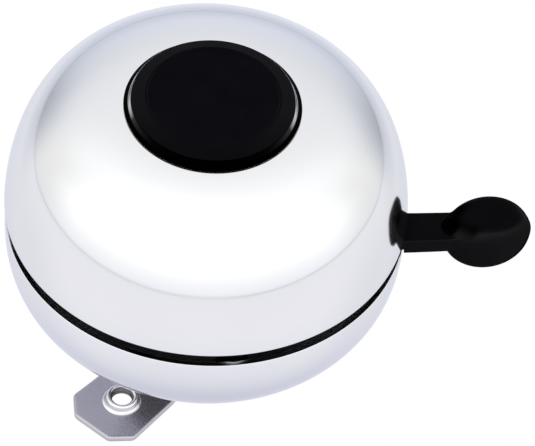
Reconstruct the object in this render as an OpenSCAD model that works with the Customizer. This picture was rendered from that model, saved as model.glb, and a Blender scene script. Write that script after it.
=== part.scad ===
// Two-gong thumb bell for a bicycle handlebar.
// Frame: the handlebar lies along X, +Z points up through the bell, origin at the middle of the seat
// that the handlebar lies in. Millimetres.

/* [Handlebar clamp] */
// Diameter of the handlebar that the saddle sits on
bar_d = 25.4; // [22.2:0.1:25.8]
// Sheet thickness of the clamp saddle
saddle_t = 1.3; // [1:0.1:1.5]
// Width of the clamp saddle along the handlebar
saddle_w = 15.4; // [14:0.1:18]
// Distance between the two threaded ear holes
ear_pitch = 46; // [44:0.5:50]
// Length of an ear past the middle of its hole
ear_reach = 9.2; // [8:0.2:11]
// Corner chamfer at the free end of an ear
ear_chamfer = 3.7; // [2:0.1:4]
// Extra width on each side of an ear at its free end
ear_flare = 0.5; // [0:0.1:1]
// Bore of the drawn ear thread (minor diameter of M5)
ear_thread_d = 4.2; // [4:0.1:4.4]

/* [Gongs] */
// Outside diameter of the upper gong at its rim
gong_d = 80; // [79:0.5:84]
// Height of the upper gong from rim to crown
gong_h = 28.1; // [26:0.1:30]
// Outside diameter of the lower gong at its rim
bowl_d = 79.6; // [79:0.1:84]
// Depth of the lower gong from rim to flat floor
bowl_h = 23.8; // [23:0.1:25]
// Sheet thickness of both gongs
gong_t = 1.2; // [1:0.1:1.3]
// Open gap between the two rims
rim_gap = 3.2; // [2.8:0.1:3.4]

/* [Cap] */
// Diameter of the flange of the black cap
cap_d = 35; // [34:0.2:38]
// Height of the cap above the crown of the gong
cap_h = 2.85; // [2.6:0.05:4]

/* [Thumb lever] */
// Direction in which the lever points at rest, from +X towards +Y
lever_angle = 48.8; // [30:0.1:60]
// Sideways distance from the bell axis to the centre line of the lever
lever_offset = 9.5; // [9:0.1:10]
// Swing of the lever from rest to fully pressed
lever_swing = 26; // [20:1:26]
// Width of the grip's neck where it meets the gongs
neck_w = 8; // [6.8:0.1:8.4]
// Height of the grip's neck
neck_h = 3.4; // [3.2:0.1:4]
// Slope of the neck below the level of the arm
neck_drop = 14; // [8:0.1:15]
// Sideways turn of the neck from the direction of the arm
neck_turn = 9.4; // [6:0.1:11]
// Length of the egg-shaped thumb pad
pad_l = 18.9; // [16:0.1:20]
// Diameter of the thumb pad
pad_d = 13.9; // [12:0.1:15]
// Upward tilt of the thumb pad from the neck
pad_tilt = 5.1; // [0:0.1:8]
// Sideways turn of the thumb pad from the neck
pad_turn = 5.4; // [0:0.1:8]
// Distance from the bend of the lever to the middle of the thumb pad
pad_reach = 20.1; // [18:0.1:22]

/* [Mechanism] */
// Diameter of the threaded centre post
post_d = 6; // [5:0.5:6]
// Thickness of the mechanism plate
plate_t = 1.5; // [1.2:0.1:1.8]
// Thickness of the lever arm and the hammer arm
arm_t = 1.3; // [1.1:0.1:1.4]
// Diameter of the hammer heads
hammer_d = 6.4; // [5:0.2:6.4]
// Free space left between a hammer head and the gong wall at the end of its swing
strike_gap = 0.8; // [0.6:0.1:1.5]

/* [Hidden] */
$fn = 96;

// Heights of the stack, from the handlebar upwards
bar_r = bar_d / 2;
floor_z = bar_r + saddle_t;
bowl_rim_z = floor_z + bowl_h;
gong_rim_z = bowl_rim_z + rim_gap;
crown_z = gong_rim_z + gong_h;
seat_z = crown_z - 4.5;
nut_h = 4;
low_nut_h = 3.2;
washer_t = 1.2;
plate_top_z = bowl_rim_z;
arm_z = bowl_rim_z + 1;
arm_top_z = arm_z + arm_t;

// Running and slip clearances on a radius
run_gap = 0.05;
slip_gap = 0.1;
press_gap = 0.02;

// Ears of the saddle and the drawn collars on them
ear_top_z = 0.3;
collar_r = 3.9;
collar_h = 1.7;
curl_r = 3.5;
curl_z = ear_top_z + curl_r;
curl_x = sqrt(pow(floor_z + curl_r, 2) - pow(curl_z, 2));

// Superellipse exponents of the two gong profiles
gong_bulge = 6;
gong_crown = 1.885;
bowl_bulge = 2.03;
bowl_crown = 2.82;
bowl_full_h = 28.4;

// Seat pressed into the crown, hidden under the cap
seat_r = 13.2;
lip_r = 1.6;

// Post and the parts that are threaded on it
post_r = post_d / 2;
nut_r = 10 / cos(30) / 2;
spacer_r = 4.75;

// Gear pair between the lever and the hammer arm, and the positions of both pivots
gear_module = 1;
lever_teeth = 26;
pinion_teeth = 13;
pressure_angle = 25;
tooth_backlash = 0.07;
mesh_angle = 200;
pivot_r = 2.5;
lever_pivot_pos = [18, -lever_offset];
gear_spacing = gear_module * (lever_teeth + pinion_teeth) / 2;
hammer_pivot_pos = lever_pivot_pos + gear_spacing * dir(mesh_angle);
hammer_swing = lever_swing * lever_teeth / pinion_teeth;

// Hammer arm: two arms that reach the gong wall in turn
hammer_r = hammer_d / 2;
strike_r = bowl_d / 2 - gong_t - hammer_r - strike_gap;
hammer_arm_l = strike_r - norm(hammer_pivot_pos);
outward_angle = atan2(hammer_pivot_pos[1], hammer_pivot_pos[0]);
lower_arm_angle = outward_angle + 4;
upper_arm_angle = outward_angle - 4 - hammer_swing;
hammer_h = 7;

// Lever arm, bent down where it leaves the gongs, and the grip moulded round it
arm_w = 5.6;
hub_r = 5;
bend_x = 37;
blade_l = 12;
neck_start = -2.5;
neck_sink = 0.68;
neck_low = -neck_h * neck_sink;
neck_taper = 0.2;
pad_low = -0.9;
root_r = gong_d / 2 + 0.15;
tongue_gap = 0.25;
sector_half = 2.5 * 360 / lever_teeth;
sector_mid = mesh_angle + lever_swing / 2;
stop_r = 1.2;

// Return spring, wound round the lever pivot
wire_r = 0.4;
coil_r = 3.6;
coil_turns = 3.22;
coil_z = arm_top_z + 0.55;
coil_pitch = 0.95;
spring_leg = 10;

function dir(a) = [cos(a), sin(a)];
function arc(c, r, a0, a1, n) = [for (i = [0:n]) c + r * dir(a0 + (a1 - a0) * i / n)];
function reverse(list) = [for (i = [len(list) - 1:-1:0]) list[i]];

// A path moved sideways by d, to the left of its direction when d is positive
function beside(path, d) = [
    for (i = [0:len(path) - 1])
        let (a = path[max(i - 1, 0)], b = path[min(i + 1, len(path) - 1)], u = (b - a) / norm(b - a))
            path[i] + d * [-u[1], u[0]]
];

// Outer profile of the upper gong: superellipse flank, rolled lip, then the sunk seat
function gong_point(t) = [gong_d / 2 * pow(cos(t), 2 / gong_bulge), gong_h * pow(sin(t), 2 / gong_crown)];
gong_path = concat(
    [for (t = [0:3:84]) gong_point(t)],
    [gong_point(86.5)],
    arc([seat_r + lip_r, gong_h - lip_r], lip_r, 90, 180, 6),
    arc([seat_r - 0.5, seat_z - gong_rim_z + 0.5], 0.5, 0, -90, 4),
    [[post_r + slip_gap, seat_z - gong_rim_z]]
);

// Outer profile of the lower gong: superellipse flank that rolls into a flat floor
function bowl_point(t) = [
    bowl_d / 2 * pow(cos(t), 2 / bowl_bulge),
    -bowl_full_h * pow(sin(t), 2 / bowl_crown)
];
function bend(a, b, c, n) = [
    for (i = [0:n])
        let (s = i / n)
            (1 - s) * (1 - s) * a + 2 * s * (1 - s) * b + s * s * c
];
bowl_end = bowl_point(45);
bowl_path = concat(
    [for (t = [0:3:42]) bowl_point(t)],
    bend(bowl_end, [bowl_end[0] - 3.2, -bowl_h], [bowl_end[0] - 7.5, -bowl_h], 6),
    [[post_r + slip_gap, -bowl_h]]
);

// Involute tooth, pointing along +X from the gear's centre
function inv(a) = tan(a) * 180 / PI - a;
function flank_angle(r, n) =
    let (pitch_r = gear_module * n / 2, base_r = pitch_r * cos(pressure_angle))
        90 / n - tooth_backlash / pitch_r * 90 / PI + inv(pressure_angle) - inv(acos(min(1, base_r / r)));
function tooth(n) =
    let (
        pitch_r = gear_module * n / 2,
        root = pitch_r - 1.25 * gear_module,
        start = max(root, pitch_r * cos(pressure_angle)),
        tip = pitch_r + 0.9 * gear_module,
        side = concat([root - 0.4], [for (i = [0:5]) start + (tip - start) * i / 5])
    )
    concat(
        [for (r = side) r * dir(-flank_angle(max(r, start), n))],
        [for (r = reverse(side)) r * dir(flank_angle(max(r, start), n))]
    );

module teeth(n, angles) {
    for (a = angles)
        rotate(a)
            polygon(tooth(n));
}

module tube(r_out, r_in, z, h) {
    translate([0, 0, z])
        difference() {
            cylinder(r = r_out, h = h);
            translate([0, 0, -1])
                cylinder(r = r_in, h = h + 2);
        }
}

module hex_nut(z, h) {
    translate([0, 0, z])
        difference() {
            intersection() {
                cylinder(r = nut_r, h = h, $fn = 6);
                rotate_extrude()
                    polygon([[0, 0], [nut_r - 0.6, 0], [nut_r, 0.35],
                        [nut_r, h - 0.35], [nut_r - 0.6, h], [0, h]]);
            }
            translate([0, 0, -1])
                cylinder(r = post_r + press_gap, h = h + 2);
        }
}

// Everything that is laid out along the lever: local +X is the lever's direction
module lever_frame() {
    rotate(lever_angle)
        children();
}

module at(pos) {
    translate([pos[0], pos[1], 0])
        children();
}

// ---- handlebar clamp ----

// Section of the bent strip, along Y and Z: half ring over the bar, a curl on each side, the flat ears
module saddle_section(ear_end) {
    edge_x = 2 * curl_x;
    edge_z = 2 * curl_z;
    intersection() {
        difference() {
            circle(floor_z);
            circle(bar_r);
        }
        polygon([[0, 0], [-edge_x, edge_z], [-edge_x, 3 * bar_r], [edge_x, 3 * bar_r], [edge_x, edge_z]]);
    }
    for (side = [-1, 1]) {
        intersection() {
            translate([side * curl_x, curl_z])
                difference() {
                    circle(curl_r + saddle_t);
                    circle(curl_r);
                }
            polygon([[0, 0], [side * curl_x, curl_z], [side * curl_x, -saddle_t]]);
        }
        translate([side > 0 ? curl_x : -ear_end, ear_top_z - saddle_t])
            square([ear_end - curl_x, saddle_t]);
    }
}

// Outline of the strip from above: straight over the bar, ears that widen to their chamfered ends
module saddle_plan(ear_end) {
    wide = saddle_w / 2 + ear_flare;
    quarter = [[saddle_w / 2, curl_x], [wide, ear_end - ear_chamfer], [wide - ear_chamfer, ear_end]];
    half = concat(quarter, [for (p = reverse(quarter)) [-p[0], p[1]]]);
    polygon(concat(half, -half));
}

module clamp_saddle() {
    ear_end = ear_pitch / 2 + ear_reach;
    strip_w = saddle_w + 2 * ear_flare;
    color("gainsboro")
        difference() {
            union() {
                intersection() {
                    rotate([90, 0, 90])
                        translate([0, 0, -strip_w / 2])
                            linear_extrude(strip_w)
                                saddle_section(ear_end);
                    translate([0, 0, -saddle_t])
                        linear_extrude(floor_z + 2 * saddle_t)
                            saddle_plan(ear_end);
                }
                for (side = [-1, 1])
                    translate([0, side * ear_pitch / 2, ear_top_z])
                        ear_collar();
            }
            for (side = [-1, 1])
                translate([0, side * ear_pitch / 2, -3])
                    cylinder(d = ear_thread_d, h = 8);
            translate([0, 0, bar_r - 2])
                cylinder(r = post_r + press_gap, h = 6);
        }
}

// Metal drawn up round an ear's thread
module ear_collar() {
    inner_r = ear_thread_d / 2 - 0.5;
    rotate_extrude()
        polygon([[inner_r, -0.2], [collar_r, -0.2], [collar_r, 0], [collar_r - 0.35, 0.4], [collar_r - 0.55, 1],
            [collar_r - 0.7, collar_h - 0.2], [collar_r - 0.9, collar_h], [inner_r, collar_h]]);
}

module centre_post() {
    color("silver")
        translate([0, 0, bar_r + 0.05])
            cylinder(r = post_r, h = seat_z + washer_t + low_nut_h + 0.6 - bar_r);
}

// ---- gongs ----

module lower_gong() {
    color("whitesmoke")
        translate([0, 0, bowl_rim_z])
            rotate_extrude()
                polygon(concat(bowl_path, reverse(beside(bowl_path, -gong_t))));
}

module upper_gong() {
    color("whitesmoke")
        translate([0, 0, gong_rim_z])
            rotate_extrude()
                polygon(concat(gong_path, reverse(beside(gong_path, gong_t))));
}

// ---- parts stacked on the post ----

module lower_lock_washer() {
    color("dimgray")
        tube(6, post_r + slip_gap, floor_z + gong_t, washer_t);
}

module lower_nut() {
    color("silver")
        hex_nut(floor_z + gong_t + washer_t, nut_h);
}

module lower_spacer() {
    bottom = floor_z + gong_t + washer_t + nut_h;
    color("lightgray")
        tube(spacer_r, post_r + slip_gap, bottom, plate_top_z - plate_t - bottom);
}

module plate_nut() {
    color("silver")
        hex_nut(plate_top_z, low_nut_h);
}

module upper_spacer() {
    bottom = plate_top_z + low_nut_h;
    color("ivory")
        tube(spacer_r, post_r + slip_gap, bottom, seat_z - gong_t - bottom);
}

module gong_washer() {
    color("firebrick")
        tube(8, post_r + slip_gap, seat_z, washer_t);
}

module top_nut() {
    color("silver")
        hex_nut(seat_z + washer_t, low_nut_h);
}

module top_cap() {
    ring_r = seat_r - press_gap;
    color([0.06, 0.06, 0.07])
        translate([0, 0, crown_z])
            rotate_extrude()
                polygon([[0, cap_h], [seat_r, cap_h], [cap_d / 2 - 1.3, cap_h - 0.95], [cap_d / 2 - 0.7, 0.5],
                    [cap_d / 2 - 0.15, 0.35], [cap_d / 2, 0.2], [cap_d / 2, 0], [ring_r, 0], [ring_r, -3],
                    [ring_r - 0.5, -3.3], [ring_r - 1.3, -3.3], [ring_r - 1.3, cap_h - 1.35], [0, cap_h - 1.35]]);
}

// ---- mechanism plate and what is fixed to it ----

function lever_stop_pos() = lever_pivot_pos + [7.4, arm_w / 2 + stop_r + run_gap];
function press_stop_pos() =
    let (edge = sector_mid - lever_swing - sector_half)
        lever_pivot_pos + 9 * dir(edge) + (stop_r + run_gap) * dir(edge - 90);
function spring_pin_pos() =
    lever_pivot_pos + coil_r * dir(190) + 9 * dir(100) + (wire_r + stop_r + 0.05) * dir(10);

module mechanism_plate() {
    color("darkgray")
        lever_frame()
            translate([0, 0, plate_top_z - plate_t])
                linear_extrude(plate_t)
                    difference() {
                        union() {
                            circle(17);
                            at(lever_pivot_pos)
                                circle(12);
                            at(hammer_pivot_pos)
                                circle(9.5);
                        }
                        circle(post_r + slip_gap);
                        for (p = [lever_pivot_pos, hammer_pivot_pos])
                            at(p)
                                circle(pivot_r + press_gap);
                        for (p = [lever_stop_pos(), press_stop_pos(), spring_pin_pos()])
                            at(p)
                                circle(stop_r + press_gap);
                        for (a = [85, 130, 175])
                            at(11 * dir(a))
                                circle(2.8);
                    }
}

// Shouldered pivot riveted into the plate, with a groove for its clip
module pivot(groove_z) {
    bottom = plate_top_z - plate_t;
    rotate_extrude()
        polygon([[0, bottom - 1], [3.4, bottom - 1], [4, bottom - 0.5], [4, bottom], [pivot_r, bottom],
            [pivot_r, groove_z], [pivot_r - 0.5, groove_z], [pivot_r - 0.5, groove_z + 0.6],
            [pivot_r, groove_z + 0.6], [pivot_r, groove_z + 1.1], [pivot_r - 0.4, groove_z + 1.5],
            [0, groove_z + 1.5]]);
}

lever_groove_z = coil_z + coil_pitch * coil_turns + wire_r + 0.15;
hammer_groove_z = arm_top_z + 0.3;

module lever_pivot() {
    color("silver")
        lever_frame()
            at(lever_pivot_pos)
                pivot(lever_groove_z);
}

module hammer_pivot() {
    color("silver")
        lever_frame()
            at(hammer_pivot_pos)
                pivot(hammer_groove_z);
}

module pivot_washers() {
    color("khaki")
        lever_frame()
            for (p = [lever_pivot_pos, hammer_pivot_pos])
                at(p)
                    tube(4.6, pivot_r + slip_gap, plate_top_z, arm_z - plate_top_z);
}

module pivot_clips() {
    color("dimgray")
        lever_frame()
            for (seat = [[lever_pivot_pos, lever_groove_z], [hammer_pivot_pos, hammer_groove_z]])
                at(seat[0])
                    translate([0, 0, seat[1] + 0.05])
                        linear_extrude(0.5)
                            difference() {
                                circle(4.4);
                                circle(pivot_r - 0.5 + press_gap);
                                translate([-1.6, 0])
                                    square([3.2, 6]);
                            }
}

// Plain pin riveted into the plate
module riveted_pin(top) {
    bottom = plate_top_z - plate_t;
    rotate_extrude()
        polygon([[0, bottom - 0.7], [1.7, bottom - 0.7], [2.1, bottom - 0.3], [2.1, bottom], [stop_r, bottom],
            [stop_r, top - 0.3], [stop_r - 0.3, top], [0, top]]);
}

module stop_pins() {
    color("silver")
        lever_frame()
            for (p = [lever_stop_pos(), press_stop_pos()])
                at(p)
                    riveted_pin(arm_top_z + 0.6);
}

module spring_anchor_pin() {
    color("silver")
        lever_frame()
            at(spring_pin_pos())
                riveted_pin(lever_groove_z + 0.6);
}

// ---- lever ----

// Everything beyond the bend of the lever: local +X runs down the neck
module neck_frame() {
    lever_frame()
        translate([bend_x, -lever_offset, arm_z + arm_t / 2])
            rotate([0, neck_drop, neck_turn])
                children();
}

// Flat of the arm up to its bend, and the blade beyond it, wider all round by gap
module lever_blade(start, gap) {
    lever_frame()
        translate([start, -lever_offset - arm_w / 2 - gap, arm_z - gap])
            cube([bend_x + 0.1 - start, arm_w + 2 * gap, arm_t + 2 * gap]);
    neck_frame()
        translate([0, -arm_w / 2 - gap, -arm_t / 2 - gap])
            cube([blade_l + gap, arm_w + 2 * gap, arm_t + 2 * gap]);
}

module lever_arm() {
    color("lightsteelblue")
        union() {
            lever_frame()
                at(lever_pivot_pos)
                    translate([0, 0, arm_z])
                        linear_extrude(arm_t)
                            difference() {
                                union() {
                                    circle(hub_r);
                                    translate([0, -arm_w / 2])
                                        square([bend_x - 2 - lever_pivot_pos[0], arm_w]);
                                    polygon(concat([[0, 0]], arc([0, 0], gear_module * (lever_teeth / 2 - 1.25),
                                        sector_mid - sector_half, sector_mid + sector_half, 16)));
                                    teeth(lever_teeth, [for (k = [-2:2]) sector_mid + k * 360 / lever_teeth]);
                                }
                                circle(pivot_r + run_gap);
                            }
            lever_blade(bend_x - 2.5, 0);
        }
}

// Moulded grip: neck outside the gongs, ending in an egg-shaped thumb pad
module thumb_grip() {
    pad_a = pad_l / 2;
    pad_b = pad_d / 2;
    color([0.09, 0.09, 0.1])
        difference() {
            neck_frame() {
                translate([0, 0, neck_low])
                    linear_extrude(neck_h)
                        polygon([[neck_start, -neck_w / 2], [pad_reach - 5, -neck_w / 2 + neck_taper],
                            [pad_reach - 5, neck_w / 2 - neck_taper], [neck_start, neck_w / 2]]);
                translate([pad_reach, 0, pad_low])
                    rotate([0, 90 - pad_tilt, pad_turn])
                        rotate_extrude()
                            polygon([for (t = [-90:5:90]) [pad_b * cos(t), pad_a * sin(t)]]);
            }
            cylinder(r = root_r, h = bowl_rim_z + tongue_gap);
            translate([0, 0, gong_rim_z - tongue_gap])
                cylinder(r = root_r, h = 10);
            lever_blade(bend_x - 6, press_gap);
        }
}

// Centre line of the return spring: leg beside the arm, coil, then the leg on the anchor pin
spring_path = concat(
    [[spring_leg, -arm_w / 2 - wire_r - 0.05, arm_top_z - 0.7], [hub_r + 1.2, -coil_r + 0.1, coil_z - 0.05]],
    [for (i = [0:58]) let (a = -90 - i * 20) [coil_r * cos(a), coil_r * sin(a), coil_z + coil_pitch * i / 18]],
    [let (p = coil_r * dir(190) + spring_leg * dir(100)) [p[0], p[1], coil_z + coil_pitch * coil_turns]]
);

module lever_spring() {
    color("lightgray")
        lever_frame()
            at(lever_pivot_pos)
                wire(spring_path, wire_r, 8);
}

// Round wire swept along a path that is nowhere vertical
module wire(path, r, sides) {
    last = len(path) - 1;
    rings = [
        for (i = [0:last])
            let (
                t = path[min(i + 1, last)] - path[max(i - 1, 0)],
                across = cross(t, [0, 0, 1]) / norm(cross(t, [0, 0, 1])),
                up = cross(across, t) / norm(t)
            )
            [for (k = [0:sides - 1]) path[i] + r * (cos(k * 360 / sides) * across + sin(k * 360 / sides) * up)]
    ];
    points = [for (ring = rings) for (p = ring) p];
    walls = [
        for (i = [0:last - 1])
            for (k = [0:sides - 1])
                let (n = (k + 1) % sides)
                    [i * sides + k, i * sides + n, (i + 1) * sides + n, (i + 1) * sides + k]
    ];
    near_end = [for (k = [sides - 1:-1:0]) k];
    far_end = [for (k = [0:sides - 1]) last * sides + k];
    polyhedron(points, concat([near_end], [far_end], walls));
}

// ---- hammers ----

module hammer_arm() {
    color("lightsteelblue")
        lever_frame()
            at(hammer_pivot_pos)
                translate([0, 0, arm_z])
                    linear_extrude(arm_t)
                        difference() {
                            union() {
                                circle(gear_module * (pinion_teeth / 2 - 1.25));
                                teeth(pinion_teeth, [for (k = [-3:2])
                                    mesh_angle + 180 - hammer_swing / 2 + (k + 0.5) * 360 / pinion_teeth]);
                                for (a = [upper_arm_angle, lower_arm_angle])
                                    rotate(a) {
                                        translate([0, -2.4])
                                            square([hammer_arm_l, 4.8]);
                                        translate([hammer_arm_l, 0])
                                            circle(3.4);
                                    }
                            }
                            circle(pivot_r + run_gap);
                            for (a = [upper_arm_angle, lower_arm_angle])
                                at(hammer_arm_l * dir(a))
                                    circle(1.5 + press_gap);
                        }
}

// Hammer head above the arm, its stem riveted over on the other side
module hammer_head() {
    rotate_extrude()
        polygon([[0, -arm_t / 2 - 0.8], [1.9, -arm_t / 2 - 0.8], [2.3, -arm_t / 2 - 0.4], [2.3, -arm_t / 2],
            [1.5, -arm_t / 2], [1.5, arm_t / 2], [hammer_r, arm_t / 2], [hammer_r, arm_t / 2 + hammer_h - 1],
            [hammer_r - 0.3, arm_t / 2 + hammer_h - 0.3], [hammer_r - 1, arm_t / 2 + hammer_h],
            [0, arm_t / 2 + hammer_h]]);
}

module upper_hammer() {
    color("dimgray")
        lever_frame()
            at(hammer_pivot_pos + hammer_arm_l * dir(upper_arm_angle))
                translate([0, 0, arm_z + arm_t / 2])
                    hammer_head();
}

module lower_hammer() {
    color("dimgray")
        lever_frame()
            at(hammer_pivot_pos + hammer_arm_l * dir(lower_arm_angle))
                translate([0, 0, arm_z + arm_t / 2])
                    mirror([0, 0, 1])
                        hammer_head();
}

clamp_saddle();
centre_post();
lower_gong();
lower_lock_washer();
lower_nut();
lower_spacer();
mechanism_plate();
plate_nut();
lever_pivot();
hammer_pivot();
pivot_washers();
pivot_clips();
stop_pins();
spring_anchor_pin();
lever_arm();
thumb_grip();
lever_spring();
hammer_arm();
upper_hammer();
lower_hammer();
upper_spacer();
upper_gong();
gong_washer();
top_nut();
top_cap();
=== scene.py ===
"""Looks of the two-gong bicycle bell: smooth gongs, cap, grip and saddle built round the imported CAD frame.

Lengths in this file are millimetres in the row frame until a mesh is made, which is in metres;
the scales, reaches and bump heights inside materials are in metres too.
"""

import math

import bpy
import numpy as np
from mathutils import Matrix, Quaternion, Vector


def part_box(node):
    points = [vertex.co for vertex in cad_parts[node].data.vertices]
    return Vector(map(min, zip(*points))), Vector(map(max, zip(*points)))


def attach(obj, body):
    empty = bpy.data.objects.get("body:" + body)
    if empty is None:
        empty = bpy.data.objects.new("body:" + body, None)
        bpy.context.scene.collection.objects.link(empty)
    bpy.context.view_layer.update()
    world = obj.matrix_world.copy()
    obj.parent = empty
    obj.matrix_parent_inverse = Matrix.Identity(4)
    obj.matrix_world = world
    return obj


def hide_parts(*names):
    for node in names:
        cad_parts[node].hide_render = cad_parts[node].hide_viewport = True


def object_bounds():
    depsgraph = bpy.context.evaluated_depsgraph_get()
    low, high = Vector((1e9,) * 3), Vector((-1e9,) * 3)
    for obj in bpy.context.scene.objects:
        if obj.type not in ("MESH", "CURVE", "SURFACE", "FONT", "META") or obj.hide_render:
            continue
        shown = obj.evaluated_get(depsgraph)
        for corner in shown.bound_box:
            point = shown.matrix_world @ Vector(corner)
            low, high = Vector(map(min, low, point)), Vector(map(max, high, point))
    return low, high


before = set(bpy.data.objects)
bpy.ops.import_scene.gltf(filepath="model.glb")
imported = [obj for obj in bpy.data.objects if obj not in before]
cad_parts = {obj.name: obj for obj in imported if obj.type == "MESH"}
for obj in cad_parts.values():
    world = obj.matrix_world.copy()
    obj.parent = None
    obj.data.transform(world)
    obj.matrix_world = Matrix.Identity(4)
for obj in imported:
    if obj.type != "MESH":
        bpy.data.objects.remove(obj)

CAD_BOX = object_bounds()
MM = 0.001
SETTLE_PASSES = 4

# ---------------------------------------------------------------- sizes read from the frame

SADDLE_T = 1.3


def box_mm(node):
    """Lowest and highest corner of a CAD node's box, in millimetres."""
    low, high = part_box(node)
    return np.array(low) / MM, np.array(high) / MM


gong_low, gong_high = box_mm("upper_gong")
bowl_low, bowl_high = box_mm("lower_gong")
cap_low, cap_high = box_mm("top_cap")

GONG_R = (gong_high[0] - gong_low[0]) / 2
GONG_RIM_Z = gong_low[2]
GONG_H = gong_high[2] - GONG_RIM_Z
BOWL_R = (bowl_high[0] - bowl_low[0]) / 2
BOWL_RIM_Z = bowl_high[2]
BOWL_H = BOWL_RIM_Z - bowl_low[2]
CROWN_Z = gong_high[2]
CAP_R = (cap_high[0] - cap_low[0]) / 2
CAP_H = cap_high[2] - CROWN_Z
ARM_LOW_Z = box_mm("hammer_arm")[0][2]
EAR_TOP_Z = box_mm("clamp_saddle")[0][2] + SADDLE_T

# ---------------------------------------------------------------- mesh tools


def new_piece(name, points, faces, body, stands_for):
    """A closed mesh piece from points in millimetres, riding on a body and standing for CAD nodes.

    Its faces always point outwards, whichever way round they were listed.
    """
    mesh = bpy.data.meshes.new(name)
    mesh.from_pydata((np.asarray(points, float) * MM).tolist(), [], [list(map(int, f)) for f in faces])
    mesh.update()
    if sum(face.center.dot(face.normal) * face.area for face in mesh.polygons) < 0:
        mesh.flip_normals()
    mesh.shade_smooth()
    piece = bpy.data.objects.new(name, mesh)
    bpy.context.scene.collection.objects.link(piece)
    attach(piece, body)
    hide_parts(*stands_for)
    return piece


def arc(centre, radius, start, end, steps):
    """Points round an arc in the (radius, height) plane, angles in degrees."""
    angles = np.radians(np.linspace(start, end, steps + 1))
    return [(centre[0] + radius * math.cos(a), centre[1] + radius * math.sin(a)) for a in angles]


def bend(start, middle, end, steps):
    """Points of a quadratic curve from start to end that bends towards the middle point."""
    shares = np.linspace(0, 1, steps + 1)
    return [tuple((1 - s) ** 2 * start + 2 * s * (1 - s) * middle + s * s * end) for s in shares]


def round_corners(outline, radii, steps):
    """A closed outline with each corner replaced by an arc-like curve of about that radius."""
    smooth = []
    count = len(outline)
    for i, corner in enumerate(outline):
        corner = np.array(corner, float)
        before = np.array(outline[i - 1], float) - corner
        after = np.array(outline[(i + 1) % count], float) - corner
        reach = min(radii[i], np.linalg.norm(before) * 0.49, np.linalg.norm(after) * 0.49)
        if reach <= 0:
            smooth.append(tuple(corner))
            continue
        start = corner + before / np.linalg.norm(before) * reach
        end = corner + after / np.linalg.norm(after) * reach
        smooth += bend(start, corner, end, steps)
    return smooth


def lathe(profile, segments):
    """Points and faces of a closed profile [(radius, height)] turned about the bell's axis.

    A profile point at radius 0 becomes a pole.
    """
    points, rows = [], []
    for r, z in profile:
        if r < 1e-6:
            rows.append([len(points)])
            points.append((0, 0, z))
            continue
        rows.append(list(range(len(points), len(points) + segments)))
        for k in range(segments):
            a = 2 * math.pi * k / segments
            points.append((r * math.cos(a), r * math.sin(a), z))
    faces = []
    for low, high in zip(rows, rows[1:] + rows[:1]):
        for k in range(segments):
            n = (k + 1) % segments
            if len(low) == 1 and len(high) == 1:
                break
            if len(low) == 1:
                faces.append((low[0], high[n], high[k]))
            elif len(high) == 1:
                faces.append((low[k], low[n], high[0]))
            else:
                faces.append((low[k], low[n], high[n], high[k]))
    return points, faces


def neighbours(values, axis, others=slice(None)):
    """The same grid twice, the second one step further along an axis."""
    first, second = [others] * 3, [others] * 3
    first[axis], second[axis] = slice(0, -1), slice(1, None)
    return values[tuple(first)], values[tuple(second)]


def skin(field, low, high, step):
    """Quad mesh of the surface field(x, y, z) = 0, where field is below zero inside (surface nets)."""
    axes = [np.arange(low[i] - 2 * step, high[i] + 3 * step, step) for i in range(3)]
    x, y, z = np.meshgrid(*axes, indexing="ij")
    value = field(x, y, z)
    inside = value < 0
    shape = np.array(value.shape)
    total = np.zeros(tuple(shape - 1) + (3,))
    hits = np.zeros(tuple(shape - 1))
    grid = np.stack([x, y, z], -1)
    for axis in range(3):
        a, b = neighbours(value, axis)
        near, far = neighbours(grid, axis)
        cross = (a < 0) != (b < 0)
        t = np.where(cross, a / np.where(a == b, 1, a - b), 0)
        place = near + t[..., None] * (far - near)
        others = [i for i in range(3) if i != axis]
        for da in (0, 1):
            for db in (0, 1):
                edge = [slice(None)] * 3
                edge[others[0]] = slice(da, da + shape[others[0]] - 1)
                edge[others[1]] = slice(db, db + shape[others[1]] - 1)
                total += np.where(cross[tuple(edge)][..., None], place[tuple(edge)], 0)
                hits += cross[tuple(edge)]
    used = hits > 0
    index = np.full(used.shape, -1)
    index[used] = np.arange(used.sum())
    points = total[used] / hits[used][:, None]
    for _ in range(SETTLE_PASSES):
        points = settle(field, points, step)
    faces = []
    for axis in range(3):
        a, b = neighbours(inside, axis, slice(1, -1))
        i, j, k = np.nonzero(a != b)
        leaving = a[i, j, k]
        base = np.stack([i, j, k], -1) + 1
        base[:, axis] -= 1
        u, v = np.eye(3, dtype=int)[(axis + 1) % 3], np.eye(3, dtype=int)[(axis + 2) % 3]
        quad = [base - u - v, base - v, base, base - u]
        quad = np.stack([index[tuple(q.T)] for q in quad], -1)
        quad[~leaving] = quad[~leaving][:, ::-1]
        faces.append(quad)
    return points, np.concatenate(faces)


def settle(field, points, step):
    """Points moved towards the surface of a field along its gradient, by half a grid step at most."""
    h = step * 0.05
    here = field(*points.T)
    ahead = [field(*(points + h * e).T) for e in np.eye(3)]
    behind = [field(*(points - h * e).T) for e in np.eye(3)]
    slope = (np.stack(ahead, -1) - np.stack(behind, -1)) / (2 * h)
    steep = np.maximum((slope**2).sum(-1), 1e-6)
    move = slope * (here / steep)[:, None]
    length = np.linalg.norm(move, axis=-1, keepdims=True)
    return points - move * np.minimum(1, step * 0.5 / np.maximum(length, 1e-9))


def blend_min(a, b, k):
    """Smooth union of two distances, with a fillet of about k."""
    h = np.clip(0.5 + 0.5 * (b - a) / k, 0, 1)
    return b + (a - b) * h - k * h * (1 - h)


def blend_max(a, b, k):
    """Smooth intersection of two distances, with an edge rounded by about k."""
    return -blend_min(-a, -b, k)


# ---------------------------------------------------------------- materials


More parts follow.
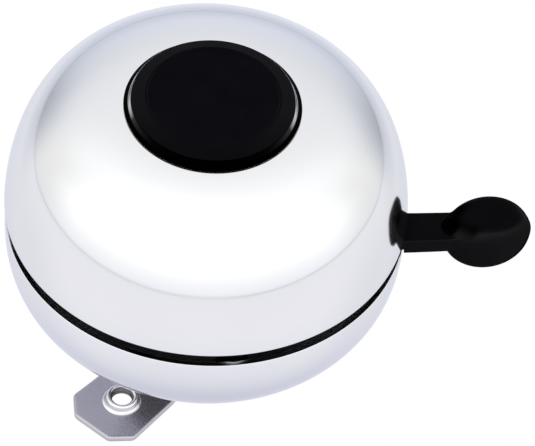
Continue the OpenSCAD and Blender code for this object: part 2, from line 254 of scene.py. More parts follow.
class Look:
    """A node material: one Principled shader and short calls that add procedural detail to it."""

    def __init__(self, name):
        self.material = bpy.data.materials.new(name)
        self.material.use_nodes = True
        self.nodes = self.material.node_tree.nodes
        self.links = self.material.node_tree.links
        self.shader = self.nodes["Principled BSDF"]
        self.place = self.node("ShaderNodeTexCoord").outputs["Object"]

    def node(self, kind, **values):
        made = self.nodes.new(kind)
        for key, value in values.items():
            if key in made.inputs.keys():
                made.inputs[key].default_value = value
            else:
                setattr(made, key.lower(), value)
        return made

    def link(self, out, to):
        self.links.new(out, to)

    def noise(self, scale, detail=3.0, stretch=None):
        """Noise fixed to the piece, with scale in cells per metre and stretch as a factor per axis."""
        noise = self.node("ShaderNodeTexNoise", Scale=scale, Detail=detail)
        place = self.place
        if stretch:
            mapping = self.node("ShaderNodeMapping")
            mapping.inputs["Scale"].default_value = stretch
            self.link(place, mapping.inputs["Vector"])
            place = mapping.outputs["Vector"]
        self.link(place, noise.inputs["Vector"])
        return noise.outputs["Fac"]

    def ramp(self, value, stops):
        """Colour ramp over value; stops are (position, grey or colour)."""
        ramp = self.node("ShaderNodeValToRGB")
        elements = ramp.color_ramp.elements
        while len(elements) < len(stops):
            elements.new(0.5)
        for element, (place, colour) in zip(elements, stops):
            element.position = place
            element.color = (*colour, 1) if isinstance(colour, tuple) else (colour, colour, colour, 1)
        self.link(value, ramp.inputs["Fac"])
        return ramp.outputs["Color"]

    def times(self, colour, factor):
        """Colour multiplied by a factor from 0 to 1."""
        product = self.node("ShaderNodeVectorMath", Operation="MULTIPLY")
        self.link(colour, product.inputs[0])
        self.link(factor, product.inputs[1])
        return product.outputs["Vector"]

    def open_air(self, reach):
        """Share of the surface's surroundings that is free within a reach in metres."""
        shelter = self.node("ShaderNodeAmbientOcclusion", Distance=reach, Samples=8)
        return shelter.outputs["AO"]

    def facing(self, direction):
        """How far the surface faces a direction of the row frame, 0 to 1."""
        toward = self.node("ShaderNodeVectorMath", Operation="DOT_PRODUCT")
        self.link(self.node("ShaderNodeTexCoord").outputs["Normal"], toward.inputs[0])
        toward.inputs[1].default_value = direction
        return toward.outputs["Value"]

    def colour(self, out):
        self.link(out, self.shader.inputs["Base Color"])

    def rough(self, out):
        self.link(out, self.shader.inputs["Roughness"])

    def bump(self, heights):
        """Chained bumps; heights are (value, strength, distance in metres)."""
        normal = None
        for value, strength, distance in heights:
            bump = self.node("ShaderNodeBump", Strength=strength, Distance=distance)
            self.link(value, bump.inputs["Height"])
            if normal:
                self.link(normal, bump.inputs["Normal"])
            normal = bump.outputs["Normal"]
        self.link(normal, self.shader.inputs["Normal"])

    def set(self, **values):
        for key, value in values.items():
            self.shader.inputs[key].default_value = value


def metal(name, dark, light, rough, grain=900, depth=0.00002, stretch=None, metallic=1.0):
    """Plated or bare metal whose colour and polish vary over the surface.

    rough gives the lowest and highest roughness; grain and depth are the scale and height of its bumps.
    """
    look = Look(name)
    look.set(Metallic=metallic)
    look.colour(look.ramp(look.noise(90), [(0.3, dark), (0.7, light)]))
    look.rough(look.ramp(look.noise(260, 5), [(0.3, rough[0]), (0.75, rough[1])]))
    look.bump([(look.noise(grain, 4, stretch), 0.25, depth)])
    return look.material


def polished_chrome():
    """Outside of the gongs: nearly a mirror, with a faint ripple."""
    look = Look("polished_chrome")
    look.set(Metallic=1.0)
    look.colour(look.ramp(look.noise(45), [(0.25, (0.79, 0.795, 0.84)), (0.75, (0.81, 0.815, 0.86))]))
    look.rough(look.ramp(look.noise(120, 6), [(0.3, 0.09), (0.8, 0.13)]))
    look.bump([(look.noise(30, 1), 0.02, 0.0006), (look.noise(1500, 3), 0.03, 0.00002)])
    return look.material


def black_plastic(name, low, high, rough, grain_height, painted_highlight, painted_shade=()):
    """Black moulding with a painted highlight: its specular level is given over the upward tilt of the
    surface, -1 to 1.

    It also takes painted shade: a list of directions, each darkening colour and specular level, with the
    share that is left over how far the surface faces it.
    """
    look = Look(name)
    colour = look.ramp(look.noise(220), [(0.3, low), (0.7, high)])
    look.rough(look.ramp(look.noise(380, 5), [(0.3, rough[0]), (0.75, rough[1])]))
    look.bump([(look.noise(5200, 2), 0.5, grain_height)])
    # Painted highlight: the specular level follows the surface's upward tilt, not the light falling on it.
    tilt = look.node("ShaderNodeMapRange")
    tilt.inputs["From Min"].default_value = -1
    look.link(look.facing((0, 0, 1)), tilt.inputs["Value"])
    level = look.ramp(tilt.outputs["Result"], [((place + 1) / 2, value) for place, value in painted_highlight])
    grazing = look.node("ShaderNodeLayerWeight", Blend=0.5).outputs["Facing"]
    level = look.times(level, look.ramp(grazing, [(0.3, 1.0), (0.78, 0.0)]))
    # Painted shade: the specular level is cut where other surfaces close in within 6 mm, as in creases.
    level = look.times(level, look.ramp(look.open_air(0.006), [(0.45, 0.0), (0.85, 1.0)]))
    # Painted shade: colour and specular level are darkened on surfaces that face each listed direction.
    for direction, left in painted_shade:
        factor = look.ramp(look.facing(direction), left)
        level = look.times(level, factor)
        colour = look.times(colour, factor)
    look.colour(colour)
    look.link(level, look.shader.inputs["Specular IOR Level"])
    return look.material


def glossy_wall():
    """Polished side wall of the cap: black seen square on, mirror-like seen edge on."""
    look = Look("cap_side")
    look.set(Metallic=1.0)
    facing = look.node("ShaderNodeLayerWeight", Blend=0.5).outputs["Facing"]
    look.colour(look.ramp(facing, [(0.0, 0.0001), (0.52, 0.0002), (0.66, 0.75), (1.0, 0.9)]))
    look.rough(look.ramp(look.noise(380, 5), [(0.3, 0.05), (0.75, 0.08)]))
    look.bump([(look.noise(2400, 2), 0.1, 0.000003)])
    return look.material


def plain_plastic(name, low, high):
    """Nylon or fibre with a fine unpolished grain."""
    look = Look(name)
    look.colour(look.ramp(look.noise(180), [(0.3, low), (0.7, high)]))
    look.rough(look.ramp(look.noise(300, 4), [(0.3, 0.4), (0.7, 0.55)]))
    look.bump([(look.noise(1800, 3), 0.3, 0.00002)])
    return look.material


CHROME = polished_chrome()
DULL = metal("dull_plate", (0.16, 0.16, 0.17), (0.24, 0.24, 0.25), (0.35, 0.55))
SADDLE = metal(
    "bright_zinc", (0.46, 0.45, 0.50), (0.50, 0.49, 0.54), (0.16, 0.22), depth=0.000001, metallic=0.85
)
COLLAR = metal("drawn_zinc", (0.80, 0.80, 0.83), (0.88, 0.88, 0.90), (0.12, 0.2), depth=0.000002)
ZINC = metal("zinc_steel", (0.46, 0.47, 0.48), (0.60, 0.61, 0.62), (0.25, 0.42))
STAMPED = metal("stamped_steel", (0.32, 0.33, 0.34), (0.46, 0.47, 0.48), (0.3, 0.5), 700, 0.00003, (1, 6, 1))
TURNED = metal("turned_steel", (0.5, 0.5, 0.51), (0.66, 0.66, 0.67), (0.18, 0.3), 1200, 0.00001, (1, 1, 12))
# Painted shade: the hammers are darkened so they stay black inside the gap between the gongs.
HAMMER_PAINTED_SHADE = metal(
    "hammer_steel_painted_shade", (0.02, 0.02, 0.022), (0.045, 0.045, 0.048), (0.4, 0.55), 1200, 0.00001, (1, 1, 12)
)
DARK = metal("dark_steel", (0.05, 0.05, 0.055), (0.1, 0.1, 0.11), (0.3, 0.5))
SPRING = metal("spring_wire", (0.42, 0.42, 0.42), (0.56, 0.56, 0.55), (0.2, 0.34))
BRASS = metal("brass", (0.55, 0.38, 0.15), (0.72, 0.54, 0.26), (0.25, 0.4))
# Cap top: painted highlight on the sloped band round the disc, painted shade on the band's front side.
CAP_TOP = black_plastic(
    "cap_top", (0.0019, 0.0018, 0.0030), (0.0026, 0.0024, 0.0040), (0.42, 0.52), 0.00002,
    painted_highlight=[(-1, 0.01), (0.8, 0.045), (0.96, 0.045), (0.985, 0.012), (1, 0.011)],
    painted_shade=[((0.6, -0.8, 0), [(0.05, 1.0), (0.3, 0.55)])],
)
CAP_SIDE = glossy_wall()
# Grip: painted highlight along the pad's sloping ridge, painted shade where it faces the gong and towards its
# outer end.
GRIP = black_plastic(
    "grip_plastic", (0.0019, 0.0017, 0.0026), (0.0027, 0.0024, 0.0036), (0.34, 0.46), 0.00002,
    painted_highlight=[
        (-0.2, 0.012), (0.2, 0.034), (0.45, 0.05), (0.7, 0.10), (0.93, 0.018), (0.972, 0.014), (0.99, 0.006),
    ],
    painted_shade=[
        ((-0.395, -0.638, 0.66), [(0.62, 1.0), (0.78, 0.04)]),
        ((0.445, 0.896, 0), [(0.1, 1.0), (0.7, 0.5)]),
    ],
)
# Painted shade: the threaded bore is given dark metal for the shade inside it.
THREAD_PAINTED_SHADE = metal("ear_thread_painted_shade", (0.10, 0.10, 0.11), (0.22, 0.22, 0.23), (0.2, 0.35))
NYLON = plain_plastic("white_nylon", (0.70, 0.69, 0.64), (0.80, 0.79, 0.74))
FIBRE = plain_plastic("fibre_washer", (0.20, 0.04, 0.025), (0.32, 0.08, 0.05))

# ---------------------------------------------------------------- camera, at the photograph's angle

# Angles in degrees, with the azimuth counted from the front of the row frame towards +X.
VIEW_AZIMUTH = 37.06
VIEW_ELEVATION = 47.78
VIEW_ROLL = 4.69
VIEW_DISTANCE = 1126.0
VIEW_AIM = (11.23, 5.82, 39.07)
SENSOR = 36.0
LENS = 382.1
CLIP = (0.05, 50)


def make_camera():
    """Camera that looks at VIEW_AIM from the fitted heading, height, roll and distance."""
    data = bpy.data.cameras.new("camera")
    data.sensor_width = SENSOR
    data.lens = LENS
    data.clip_start, data.clip_end = CLIP
    camera = bpy.data.objects.new("camera", data)
    bpy.context.scene.collection.objects.link(camera)
    a, e = math.radians(VIEW_AZIMUTH), math.radians(VIEW_ELEVATION)
    back = Vector((math.sin(a) * math.cos(e), -math.cos(a) * math.cos(e), math.sin(e)))
    camera.location = (Vector(VIEW_AIM) + back * VIEW_DISTANCE) * MM
    level = (-back).to_track_quat("-Z", "Y")
    camera.rotation_mode = "QUATERNION"
    camera.rotation_quaternion = level @ Quaternion((0, 0, 1), math.radians(VIEW_ROLL))
    bpy.context.scene.camera = camera


make_camera()

# ---------------------------------------------------------------- soft white studio and floor

STUDIO_TURN = 38.0
PEAK = 1.5
# The seam where the table ends: how high it lies, and how much, from where and how steeply it rises
# towards the far side. A height is the upward component of a direction.
SEAM_LOW, SEAM_RISE, SEAM_START, SEAM_CURVE = -0.21, 0.33, 0.25, 1.5
# Half the width of the seam, and how much darker its middle is than what lies round it.
SEAM_HALF, SEAM_DARK = 0.016, 0.42
# The colour ramps cover SPAN of height, from DEPTH below the seam.
DEPTH, SPAN = 1.0, 2.2
# Radiance over height for four headings of the studio: (height above the seam, red, green, blue).
NEAR_SIDE = [
    (-0.82, 0.69, 0.70, 0.78), (-0.68, 0.85, 0.86, 0.90), (-0.52, 0.98, 0.98, 0.99), (-0.4, 1.01, 1.0, 1.01),
    (-0.03, 1.0, 1.0, 1.0), (0.03, 1.08, 1.08, 1.08), (0.15, 1.15, 1.15, 1.12), (0.3, 1.25, 1.25, 1.2),
    (0.5, 1.4, 1.4, 1.35), (1.1, 1.5, 1.5, 1.45),
]
SIDES = [
    (-0.82, 0.66, 0.67, 0.76), (-0.68, 0.76, 0.77, 0.85), (-0.52, 0.89, 0.89, 0.91), (-0.4, 0.9, 0.9, 0.91),
    (-0.03, 0.98, 0.98, 0.98), (0.03, 0.95, 0.95, 0.93), (0.15, 0.97, 0.97, 0.93), (0.4, 1.01, 1.01, 0.95),
    (0.7, 1.06, 1.06, 1.0), (1.1, 1.25, 1.25, 1.2),
]
CORNERS = [
    (-0.82, 0.7, 0.71, 0.8), (-0.4, 0.88, 0.89, 0.93), (-0.08, 0.7, 0.72, 0.75), (0.03, 0.5, 0.53, 0.56),
    (0.15, 0.55, 0.58, 0.61), (0.4, 0.68, 0.71, 0.73), (0.7, 0.93, 0.94, 0.94), (0.95, 1.1, 1.1, 1.05),
]
FAR_SIDE = [
    (-0.9, 0.95, 0.95, 0.95), (-0.4, 0.84, 0.87, 0.94), (-0.08, 0.72, 0.75, 0.82), (0.03, 0.72, 0.76, 0.83),
    (0.15, 0.75, 0.78, 0.86), (0.4, 0.92, 0.95, 1.02), (0.7, 1.1, 1.12, 1.12), (0.95, 1.2, 1.2, 1.15),
]
# Where, from -1 at the near side to 1 at the far side, each of the last three lists takes over.
HEADINGS = [(-0.35, 0.3), (0.35, 0.72), (0.74, 0.97)]


def make_studio():
    """World light by direction: bright in front and above, dimmer and bluer behind, over a pale table."""
    world = bpy.data.worlds.new("studio")
    bpy.context.scene.world = world
    world.use_nodes = True
    nodes, links = world.node_tree.nodes, world.node_tree.links
    background = nodes["Background"]

    def node(kind, **settings):
        made = nodes.new(kind)
        for key, value in settings.items():
            setattr(made, key, value)
        return made

    def compute(operation, first, second=None):
        made = node("ShaderNodeMath", operation=operation)
        for socket, value in zip(made.inputs, (first, second)):
            if isinstance(value, (int, float)):
                socket.default_value = value
            elif value is not None:
                links.new(value, socket)
        return made.outputs[0]

    def between(value, low, high):
        made = node("ShaderNodeMapRange", interpolation_type="SMOOTHSTEP")
        made.inputs["From Min"].default_value, made.inputs["From Max"].default_value = low, high
        links.new(value, made.inputs["Value"])
        return made.outputs["Result"]

    def radiance(value, stops):
        made = node("ShaderNodeValToRGB")
        elements = made.color_ramp.elements
        while len(elements) < len(stops):
            elements.new(0.5)
        for element, (height, red, green, blue) in zip(elements, stops):
            element.position = (height + DEPTH) / SPAN
            element.color = (red / PEAK, green / PEAK, blue / PEAK, 1)
        links.new(value, made.inputs["Fac"])
        return made.outputs["Color"]

    def mix(fac, first, second):
        # Sockets 6 and 7 and output 2 are the node's colours.
        made = node("ShaderNodeMix", data_type="RGBA")
        links.new(fac, made.inputs["Factor"])
        links.new(first, made.inputs[6])
        links.new(second, made.inputs[7])
        return made.outputs[2]

    turn = node("ShaderNodeVectorRotate", rotation_type="Z_AXIS")
    turn.inputs["Angle"].default_value = -math.radians(STUDIO_TURN)
    links.new(node("ShaderNodeTexCoord").outputs["Generated"], turn.inputs["Vector"])
    split = node("ShaderNodeSeparateXYZ")
    links.new(turn.outputs["Vector"], split.inputs[0])
    away, up = split.outputs["Y"], split.outputs["Z"]

    rise = compute("MAXIMUM", compute("DIVIDE", compute("SUBTRACT", away, SEAM_START), 1 - SEAM_START), 0.0)
    edge = compute("ADD", compute("MULTIPLY", compute("POWER", rise, SEAM_CURVE), SEAM_RISE), SEAM_LOW)
    height = compute("SUBTRACT", up, edge)
    fac = compute("DIVIDE", compute("ADD", height, DEPTH), SPAN)
    light = radiance(fac, NEAR_SIDE)
    for (low, high), stops in zip(HEADINGS, (SIDES, CORNERS, FAR_SIDE)):
        light = mix(between(away, low, high), light, radiance(fac, stops))
    seam = between(compute("ABSOLUTE", height), 0.0, SEAM_HALF)
    keep = compute("ADD", compute("MULTIPLY", seam, SEAM_DARK), 1 - SEAM_DARK)
    links.new(light, background.inputs["Color"])
    links.new(compute("MULTIPLY", keep, PEAK), background.inputs["Strength"])


def make_floor():
    """Plain white table, for the camera; in reflections the studio's own pale lower half stands for it."""
    reach = 4000.0
    level = CAD_BOX[0][2] / MM
    mesh = bpy.data.meshes.new("floor")
    corners = [(-reach, -reach, level), (reach, -reach, level), (reach, reach, level), (-reach, reach, level)]
    mesh.from_pydata([tuple(c * MM for c in p) for p in corners], [], [(0, 1, 2, 3)])
    floor = bpy.data.objects.new("floor", mesh)
    bpy.context.scene.collection.objects.link(floor)
    material = bpy.data.materials.new("floor_white")
    material.use_nodes = True
    nodes = material.node_tree.nodes
    nodes.clear()
    glow = nodes.new("ShaderNodeEmission")
    glow.inputs["Strength"].default_value = 1.0
    glow.inputs["Color"].default_value = (1, 1, 1, 1)
    out = nodes.new("ShaderNodeOutputMaterial")
    material.node_tree.links.new(glow.outputs[0], out.inputs["Surface"])
    mesh.materials.append(material)
    floor.visible_glossy = floor.visible_diffuse = floor.visible_transmission = floor.visible_shadow = False
    bpy.context.scene.view_settings.view_transform = "Standard"


make_studio()
make_floor()

# ---------------------------------------------------------------- gongs

GONG_T = 1.2
GONG_BULGE, GONG_CROWN = 6.0, 1.885
BOWL_BULGE, BOWL_CROWN, BOWL_FULL_H = 2.03, 2.82, 28.4
# Stretches of each wall: start and end in degrees round its superellipse, and the number of points.
GONG_WALL = [(0, 84, 110), (84.5, 86.5, 5)]
BOWL_WALL = [(0, 45, 80)]
BOWL_BEND_IN, BOWL_FLAT_IN = 3.2, 7.5
SEAT_R, SEAT_DEPTH, SEAT_ROUND, LIP_R = 13.2, 4.5, 0.5, 1.6
POST_HOLE_R = 3.1
RIM_ROUND, RIM_STEPS = 0.12, 5
GONG_SEGMENTS = 320


def wall(radius, height, bulge, crown, stretches):
    """Points along the quarter of a superellipse that a gong's wall follows, from its rim."""
    t = np.radians(np.concatenate([np.linspace(*stretch) for stretch in stretches]))
    return np.stack([radius * np.cos(t) ** (2 / bulge), height * np.sin(t) ** (2 / crown)], -1)


def shell(path, thickness):
    """A sheet's outer path, and the same path moved in by the sheet's thickness."""
    path = np.array(path, float)
    along = np.gradient(path, axis=0)
    along /= np.linalg.norm(along, axis=1, keepdims=True)
    across = np.stack([-along[:, 1], along[:, 0]], -1)
    return path, path + across * thickness


def dome_paths():
    """Outer and inner path of the upper gong: up the wall, over the lip and down into the cap's seat."""
    flank = wall(GONG_R, GONG_H, GONG_BULGE, GONG_CROWN, GONG_WALL)
    lip = arc((SEAT_R + LIP_R, GONG_H - LIP_R), LIP_R, 90, 180, 10)
    seat = arc((SEAT_R - SEAT_ROUND, GONG_H - SEAT_DEPTH + SEAT_ROUND), SEAT_ROUND, 0, -90, 5)
    return shell([*flank, *lip, *seat, (POST_HOLE_R, GONG_H - SEAT_DEPTH)], GONG_T)


def bowl_paths():
    """Outer and inner path of the lower gong: down the wall and in across the flat bottom."""
    flank = wall(BOWL_R, -BOWL_FULL_H, BOWL_BULGE, BOWL_CROWN, BOWL_WALL)
    end = flank[-1]
    middle, flat = (np.array([end[0] - inset, -BOWL_H]) for inset in (BOWL_BEND_IN, BOWL_FLAT_IN))
    bottom = bend(end, middle, flat, 16)[1:]
    return shell([*flank, *bottom, (POST_HOLE_R, -BOWL_H)], -GONG_T)


def past_rim(path):
    """The path from its first point that is clear of the rounded rim edge."""
    return path[int(np.argmax(np.abs(path[:, 1] - path[0][1]) > RIM_ROUND * 1.05)):]


def make_gong(name, paths, rim_z, node):
    """Turned sheet metal: polished outside, dull inside, with a rounded rim edge."""
    outer, inner = paths
    rim_out, rim_in = outer[0], inner[0]
    along = np.array([0.0, np.sign(outer[1][1] - rim_out[1])]) * RIM_ROUND
    across = (rim_in - rim_out) / np.linalg.norm(rim_in - rim_out) * RIM_ROUND
    outside, inside = past_rim(outer), past_rim(inner)[::-1]
    rim = bend(rim_in + along, rim_in, rim_in - across, RIM_STEPS)
    rim += bend(rim_out + across, rim_out, rim_out + along, RIM_STEPS)
    points, faces = lathe([(r, z + rim_z) for r, z in [*outside, *inside, *rim]], GONG_SEGMENTS)
    piece = new_piece(name, points, faces, "base", [node])
    piece.data.materials.append(CHROME)
    piece.data.materials.append(DULL)
    dull_rings = range(len(outside) - 1, len(outside) + len(inside) - 1)
    for face in piece.data.polygons:
        face.material_index = int(min(face.vertices) // GONG_SEGMENTS in dull_rings)


# ---------------------------------------------------------------- cap

DISC_R, DISC_SINK = 12.8, 0.16
RIDGE_IN, RIDGE_OUT = 13.0, 13.3
SHOULDER_IN, SHOULDER_DROP = 1.4, 0.95
FOOT_IN, FOOT_H = 0.9, 0.45
BRIM_IN, BRIM_H = 0.05, 0.3
CAP_T, SKIRT_T, SKIRT_DEPTH, SKIRT_GAP = 1.35, 1.3, 3.3, 0.02
LEAD_IN, LEAD_H = 0.5, 0.3
WALL_IN, WALL_DROP = 1.5, 1.0
CAP_SEGMENTS = 256


def make_cap():
    """The cap: a sunk disc inside a ridge, a glossy side wall, a thin brim and a skirt in the gong's seat."""
    top, skirt_r, under = CAP_H, SEAT_R - SKIRT_GAP, CAP_H - CAP_T
    corners = [
        (0, top - DISC_SINK, 0), (DISC_R, top - DISC_SINK, 0.1),
        (RIDGE_IN, top, 0.1), (RIDGE_OUT, top, 0.12),
        (CAP_R - SHOULDER_IN, top - SHOULDER_DROP, 0.25), (CAP_R - FOOT_IN, FOOT_H, 0.25),
        (CAP_R - BRIM_IN, BRIM_H, 0.15), (CAP_R, 0, 0.1),
        (skirt_r, 0, 0.1), (skirt_r, LEAD_H - SKIRT_DEPTH, 0.2), (skirt_r - LEAD_IN, -SKIRT_DEPTH, 0.2),
        (skirt_r - SKIRT_T, -SKIRT_DEPTH, 0.1), (skirt_r - SKIRT_T, under, 0.5), (0, under, 0),
    ]
    profile = round_corners([(r, z) for r, z, _ in corners], [rounding for _, _, rounding in corners], 6)
    points, faces = lathe([(r, z + CROWN_Z) for r, z in profile], CAP_SEGMENTS)
    cap = new_piece("top_cap_moulding", points, faces, "base", ["top_cap"])
    cap.data.materials.append(CAP_TOP)
    cap.data.materials.append(CAP_SIDE)
    for face in cap.data.polygons:
        height = face.center.z / MM - CROWN_Z
        out = math.hypot(face.center.x, face.center.y) / MM
        face.material_index = int(out > CAP_R - WALL_IN and height < CAP_H - WALL_DROP)


# ---------------------------------------------------------------- thumb grip

LEVER_ANGLE = math.radians(48.8)
LEVER_OFFSET = 9.5
BEND_X = 37.0
ARM_T = 1.3
NECK_DROP, NECK_TURN = math.radians(14.0), math.radians(9.4)
NECK_W, NECK_H, NECK_START = 8.0, 3.4, -2.5
NECK_TAPER, NECK_TAPER_RUN = 0.2, 17
NECK_MID = -NECK_H * 0.18
NECK_IN_PAD = 3
FLARE, FLARE_AT, FLARE_RUN = 2.6, 2.0, 2.6
PAD_L, PAD_W, PAD_H, PAD_SQUARE = 18.9, 13.0, 13.0, 2.6
PAD_REACH, PAD_LOW = 20.1, -0.9
PAD_TILT, PAD_TURN = math.radians(5.1), math.radians(5.4)
DISH_DEPTH, DISH_ALONG, DISH_ACROSS = 5.3, 0.004, 0.02
# The pad's nose towards the neck: its centre's place in the pad, its half sizes, and its half height below.
NOSE_IN, NOSE, NOSE_UNDER = 5.4, (7.5, 4.5, 5.6), 1.2
ROOT_GAP, TONGUE_GAP = 0.15, 0.25
NOSE_BLEND, DISH_BLEND, EDGE_BLEND, END_BLEND, JOIN_BLEND, ROOT_BLEND = 0.6, 1.0, 0.25, 0.3, 0.35, 0.2
# Step and corners of the grid that the grip is made on: along, across and above its neck.
GRIP_STEP = 0.25
GRIP_LOW = (NECK_START - 0.5, -PAD_W / 2 - 0.6, -9.0)
GRIP_HIGH = (PAD_REACH + PAD_L / 2 + 0.2, PAD_W / 2 + 1.5, 6.0)


def tilted(drop, turn):
    """Rows are the axes of a frame dropped by one angle, then turned about the vertical by the other."""
    cd, sd, ct, st = math.cos(drop), math.sin(drop), math.cos(turn), math.sin(turn)
    return np.array([[cd * ct, cd * st, -sd], [-st, ct, 0], [sd * ct, sd * st, cd]])


NECK_AXES = tilted(NECK_DROP, NECK_TURN)
PAD_AXES = tilted(-PAD_TILT, PAD_TURN)
NECK_ORIGIN = np.array([BEND_X, -LEVER_OFFSET, ARM_LOW_Z + ARM_T / 2])


def from_lever(points):
    """Points given along, across and above the lever, turned into the row frame."""
    along, across, above = np.asarray(points, float).T
    c, s = math.cos(LEVER_ANGLE), math.sin(LEVER_ANGLE)
    return np.stack([along * c - across * s, along * s + across * c, above], -1)


def pad_field(along, side, up):
    """Distance to the thumb pad in its own frame: an egg with a nose towards the neck and a dished top."""
    # The usual estimate of the distance to an ellipsoid, with the ring across it squared off by PAD_SQUARE.
    end, wide, tall, n = PAD_L / 2, PAD_W / 2, PAD_H / 2, PAD_SQUARE
    ring = (np.abs(side / wide) ** n + np.abs(up / tall) ** n) ** (1 / n)
    k0 = np.sqrt((along / end) ** 2 + ring**2)
    k1 = np.sqrt((along / end**2) ** 2 + (ring / wide) ** 2)
    egg = k0 * (k0 - 1) / np.maximum(k1, 1e-6)
    rise = np.where(up > 0, up / NOSE[2], up / NOSE_UNDER)
    to_nose = np.sqrt(((along + end - NOSE_IN) / NOSE[0]) ** 2 + (side / NOSE[1]) ** 2 + rise**2)
    egg = blend_min(egg, (to_nose - 1) * min(NOSE), NOSE_BLEND)
    dish = up - DISH_DEPTH - DISH_ALONG * along**2 - DISH_ACROSS * side**2
    return blend_max(egg, dish, DISH_BLEND)


def neck_field(x, y, z):
    """Distance to the flat neck in its own frame, flared on one side where it leaves the bell."""
    flare = FLARE * np.clip((FLARE_AT - x) / FLARE_RUN, 0, 1)
    half_w = NECK_W / 2 - NECK_TAPER * np.clip((x - NECK_START) / NECK_TAPER_RUN, 0, 1)
    sides = np.maximum(y - half_w - flare, -y - half_w)
    levels = np.abs(z - NECK_MID) - NECK_H / 2
    ends = np.maximum(NECK_START - x, x - PAD_REACH + NECK_IN_PAD)
    return blend_max(blend_max(sides, levels, EDGE_BLEND), ends, END_BLEND)


def grip_field(nx, ny, nz):
    """Distance to the grip's surface, in the frame of its neck; inside the gongs only a tongue is left."""
    where = np.stack([nx, ny, nz])
    x, y, z = (NECK_AXES.T @ where.reshape(3, -1) + NECK_ORIGIN[:, None]).reshape(where.shape)
    from_pad = np.stack([nx - PAD_REACH, ny, nz - PAD_LOW]).reshape(3, -1)
    pad = pad_field(*(PAD_AXES @ from_pad).reshape(where.shape))
    outside = GONG_R + ROOT_GAP - np.hypot(x, y)
    tongue = np.maximum(BOWL_RIM_Z + TONGUE_GAP - z, z - GONG_RIM_Z + TONGUE_GAP)
    grip = blend_min(neck_field(nx, ny, nz), pad, JOIN_BLEND)
    return blend_max(grip, np.minimum(outside, tongue), ROOT_BLEND)


def make_grip():
    """The moulded neck and thumb pad, in one piece on the lever."""
    points, faces = skin(grip_field, GRIP_LOW, GRIP_HIGH, GRIP_STEP)
    points = from_lever(points @ NECK_AXES + NECK_ORIGIN)
    grip = new_piece("thumb_grip_moulding", points, faces, "lever", ["thumb_grip"])
    grip.data.materials.append(GRIP)


# ---------------------------------------------------------------- handlebar saddle

SADDLE_W, BAR_R, CURL_R = 15.4, 12.7, 3.5
EAR_PITCH, EAR_REACH, EAR_CHAMFER, EAR_FLARE = 46.0, 9.2, 3.7, 0.5
EAR_END = EAR_PITCH / 2 + EAR_REACH
EAR_HALF_W = SADDLE_W / 2 + EAR_FLARE
EDGE_ROUND, END_ROUND, CHAMFER_ROUND = 0.38, 0.2, 0.5
# The centre post's hole, which is cut only above a height; NO_HOLE stands for a point far from any hole.
SADDLE_HOLE_R, HOLE_ABOVE, NO_HOLE = 3.02, 5, -9.0
SADDLE_STEP = 0.26
COLLAR_R, COLLAR_H = 3.9, 1.7
COLLAR_HOLE_R = COLLAR_R - 0.5
BORE_R, THREAD_PITCH, THREAD_DEPTH, MOUTH_H = 2.1, 0.8, 0.28, 1.1
THREAD_RINGS, THREAD_FADE = 26, 0.2
COLLAR_SEGMENTS = 96


def saddle_field(x, y, z):
    """Distance to the bent strip: half ring over the handlebar, a curl on each side, then the flat ears."""
    out = np.abs(y)
    half = SADDLE_T / 2
    curl_z = EAR_TOP_Z + CURL_R
    curl_x = math.sqrt((BAR_R + SADDLE_T + CURL_R) ** 2 - curl_z**2)
    ring = np.abs(np.hypot(out, z) - BAR_R - half)
    curl = np.abs(np.hypot(out - curl_x, z - curl_z) - CURL_R - half)
    flat = np.abs(z - EAR_TOP_Z + half)
    bent = np.where(np.arctan2(z, out) > math.atan2(curl_z, curl_x), ring, curl)
    sheet = np.where(out >= curl_x, flat, bent) - half
    wide = SADDLE_W / 2 + EAR_FLARE * np.clip((out - curl_x) / (EAR_END - EAR_CHAMFER - curl_x), 0, 1)
    corner_cut = (np.abs(x) + out - (EAR_HALF_W + EAR_END - EAR_CHAMFER)) / math.sqrt(2)
    plan = blend_max(blend_max(np.abs(x) - wide, out - EAR_END, END_ROUND), corner_cut, CHAMFER_ROUND)
    ear_hole = COLLAR_HOLE_R - np.hypot(x, out - EAR_PITCH / 2)
    post_hole = np.where(z > HOLE_ABOVE, SADDLE_HOLE_R - np.hypot(x, y), NO_HOLE)
    return np.maximum(blend_max(sheet, plan, EDGE_ROUND), np.maximum(ear_hole, post_hole))


def collar_rings():
    """Radius, height and share of thread of each ring round a drawn collar's closed section."""
    top, bottom = EAR_TOP_Z + COLLAR_H, EAR_TOP_Z - SADDLE_T
    neck_bottom, neck_top = bottom + MOUTH_H, top - 0.4
    outside = [
        (COLLAR_R + 0.25, EAR_TOP_Z - 0.05), (COLLAR_R - 0.1, EAR_TOP_Z + 0.02),
        (COLLAR_R - 0.35, EAR_TOP_Z + 0.2), (COLLAR_R - 0.5, EAR_TOP_Z + 0.5),
        (COLLAR_R - 0.6, EAR_TOP_Z + 0.9), (COLLAR_R - 0.7, top - 0.35),
        (COLLAR_R - 0.8, top - 0.12), (COLLAR_R - 1.0, top - 0.01),
        (BORE_R + 0.65, top), (BORE_R + 0.5, top - 0.04),
    ]
    chamfer = [(BORE_R + 0.3, top - 0.2), (BORE_R + 0.1, neck_top)]
    mouth = [
        (BORE_R + 0.15, neck_bottom - 0.2), (BORE_R + 0.45, neck_bottom - 0.55),
        (BORE_R + 0.9, bottom + 0.12), (BORE_R + 1.3, bottom + 0.01),
        (COLLAR_R, bottom + 0.05), (COLLAR_R + 0.25, bottom + 0.3),
    ]
    rings = [(r, z, 0) for r, z in outside + chamfer]
    for z in np.linspace(neck_top - 0.05, neck_bottom, THREAD_RINGS):
        rings.append((BORE_R, z, min(1, (neck_top - z) / THREAD_FADE, (z - neck_bottom) / THREAD_FADE)))
    return rings + [(r, z, 0) for r, z in mouth]


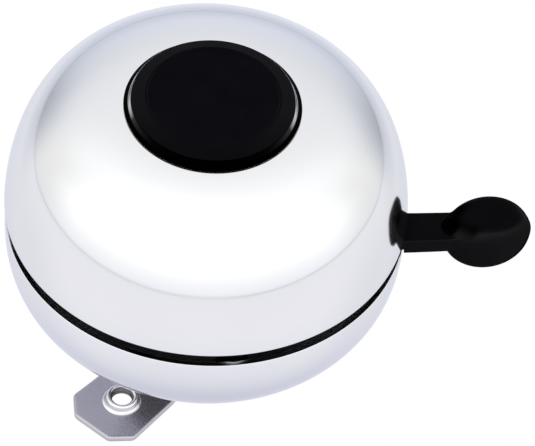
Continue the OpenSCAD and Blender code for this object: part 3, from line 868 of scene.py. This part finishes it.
def make_collar(name, side):
    """The collar drawn up round one ear's threaded hole; side is 1 or -1 along the row's Y."""
    points, faces = [], []
    rings = collar_rings()
    for r, z, thread in rings:
        for k in range(COLLAR_SEGMENTS):
            turn = k / COLLAR_SEGMENTS
            wave = abs(((z / THREAD_PITCH - turn) % 1) * 2 - 1)
            reach = r + THREAD_DEPTH * thread * wave
            a = 2 * math.pi * turn
            points.append((reach * math.cos(a), side * EAR_PITCH / 2 + reach * math.sin(a), z))
    for i in range(len(rings)):
        here, after = i * COLLAR_SEGMENTS, (i + 1) % len(rings) * COLLAR_SEGMENTS
        for k in range(COLLAR_SEGMENTS):
            n = (k + 1) % COLLAR_SEGMENTS
            faces.append((after + k, after + n, here + n, here + k))
    collar = new_piece(name, points, faces, "base", ["clamp_saddle"])
    collar.data.materials.append(COLLAR)
    collar.data.materials.append(THREAD_PAINTED_SHADE)
    first = next(i for i, (_, _, thread) in enumerate(rings) if thread > 0)
    # The thread rings and two more either side take the dark metal, painted shade in the bore.
    painted_shade_rings = range(first - 2, first + THREAD_RINGS + 2)
    for face in collar.data.polygons:
        face.material_index = int(min(face.vertices) // COLLAR_SEGMENTS in painted_shade_rings)


def make_saddle():
    """The bent strip and, as pieces of their own, the collars of its two ears."""
    low = (-EAR_HALF_W, -EAR_END, EAR_TOP_Z - SADDLE_T)
    high = (EAR_HALF_W, EAR_END, BAR_R + SADDLE_T)
    points, faces = skin(saddle_field, low, high, SADDLE_STEP)
    saddle = new_piece("saddle_strip", points, faces, "base", ["clamp_saddle"])
    saddle.data.materials.append(SADDLE)
    make_collar("front_ear_collar", -1)
    make_collar("rear_ear_collar", 1)


make_gong("upper_gong_shell", dome_paths(), GONG_RIM_Z, "upper_gong")
make_gong("lower_gong_shell", bowl_paths(), BOWL_RIM_Z, "lower_gong")
make_cap()
make_grip()
make_saddle()

# ---------------------------------------------------------------- finishes of the CAD nodes that stay

FINISHES = [
    (ZINC, ["centre_post", "lower_nut", "lower_spacer", "plate_nut", "top_nut"]),
    (STAMPED, ["mechanism_plate", "lever_arm", "hammer_arm"]),
    (TURNED, ["lever_pivot", "hammer_pivot", "stop_pins", "spring_anchor_pin"]),
    (DARK, ["lower_lock_washer", "pivot_clips"]),
    # The hammers' dark metal is painted shade.
    (HAMMER_PAINTED_SHADE, ["upper_hammer", "lower_hammer"]),
    (SPRING, ["lever_spring"]),
    (BRASS, ["pivot_washers"]),
    (NYLON, ["upper_spacer"]),
    (FIBRE, ["gong_washer"]),
]
for material, names in FINISHES:
    for name in names:
        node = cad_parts[name]
        node.data.materials.clear()
        node.data.materials.append(material)
